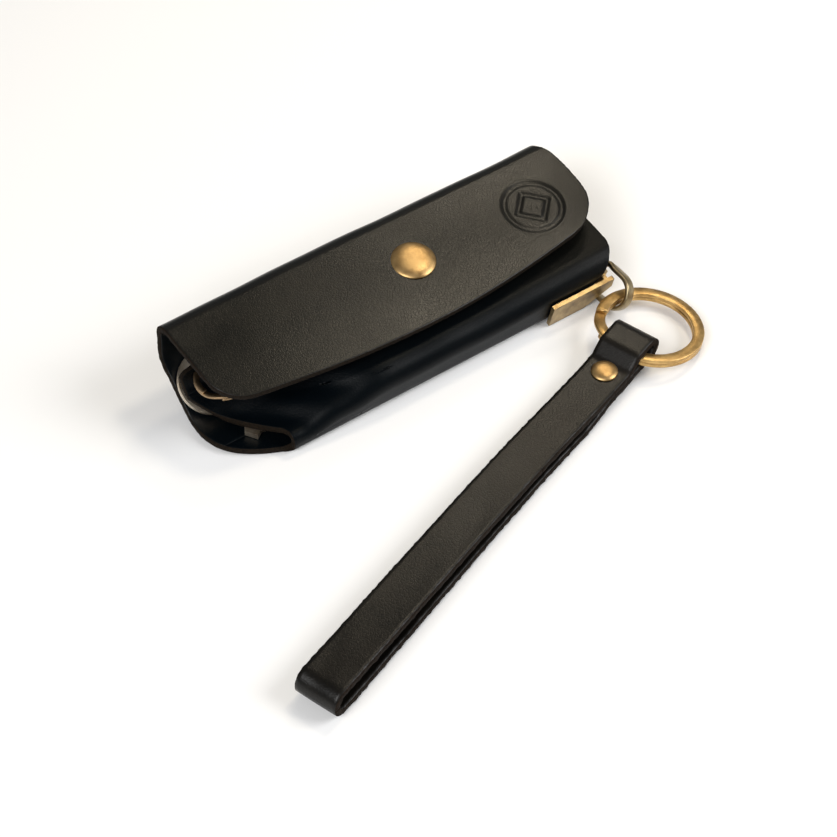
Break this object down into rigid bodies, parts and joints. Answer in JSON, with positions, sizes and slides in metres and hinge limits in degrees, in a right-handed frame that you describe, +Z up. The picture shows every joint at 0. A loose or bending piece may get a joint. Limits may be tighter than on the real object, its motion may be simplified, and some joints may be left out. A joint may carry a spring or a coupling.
{
  "type": "leather key case with wrist strap",
  "caption": "Folded leather key case with a snap flap, brass edge clamp, swivel loop, split ring and riveted wrist strap, keys inside.",
  "frame": {"origin": "middle of the flat underside of the leather case, on the surface it lies on", "axes": "+X along the case towards the clamp, -Y towards the split ring and strap, +Z up, away from the underside"},
  "size_m": [0.1581, 0.1124, 0.024],
  "materials": {
    "case_leather": "oiled dark leather with fine grain and raw cut edges",
    "strap_leather": "dark brown-black leather strap, creased",
    "cap_brass": "smooth domed antique brass",
    "hardware_brass": "plain brass",
    "clamp_brass": "antique brass sheet, darkened",
    "loop_brass": "antique brass, greyish",
    "ring_brass": "flat antique brass split ring",
    "ring_steel": "nickel-plated wire ring",
    "key_steel": "worn nickel key blank"
  },
  "bodies": {
    "case": {"case_wrap": "case_leather", "snap_stud": "hardware_brass", "snap_post": "hardware_brass", "edge_clamp": "clamp_brass"},
    "flap": {"case_flap": "case_leather", "snap_cap": "cap_brass", "snap_socket": "hardware_brass"},
    "loop": {"clamp_loop": "loop_brass"},
    "ring": {"split_ring": "ring_brass"},
    "strap": {"wrist_strap": "strap_leather", "rivet_cap": "cap_brass", "rivet_post": "cap_brass"},
    "small_ring": {"key_ring": "ring_steel"},
    "key_a": {"key_1": "key_steel"},
    "key_b": {"key_2": "key_steel"}
  },
  "joints": [
    {"name": "flap_hinge", "type": "hinge", "parent": "case", "child": "flap", "pos_m": [0, 0.025, 0.023], "axis": [-1, 0, 0], "range_deg": [0, 170]},
    {"name": "loop_swivel", "type": "hinge", "parent": "case", "child": "loop", "pos_m": [0.05795, -0.0105, 0.0054], "axis": [0.5, 0, 0.866], "range_deg": [0, 80]},
    {"name": "ring_tilt", "type": "hinge", "parent": "loop", "child": "ring", "pos_m": [0.0575, -0.0196, 0.0045], "axis": [-1, 0, 0], "range_deg": [0, 50]},
    {"name": "strap_turn", "type": "hinge", "parent": "ring", "child": "strap", "pos_m": [0.0575, -0.0331, 0.0045], "axis": [0.153, 0, 0.9882], "range_deg": [-15, 150]},
    {"name": "key_ring_tilt", "type": "hinge", "parent": "case", "child": "small_ring", "pos_m": [-0.0513, 0.0149, 0.0155], "axis": [-1, 0, 0], "range_deg": [0, 7]},
    {"name": "key_1_slide", "type": "slide", "parent": "case", "child": "key_a", "axis": [-1, 0, 0], "range_m": [0, 0.04]},
    {"name": "key_2_slide", "type": "slide", "parent": "case", "child": "key_b", "axis": [-1, 0, 0], "range_m": [0, 0.028]}
  ]
}
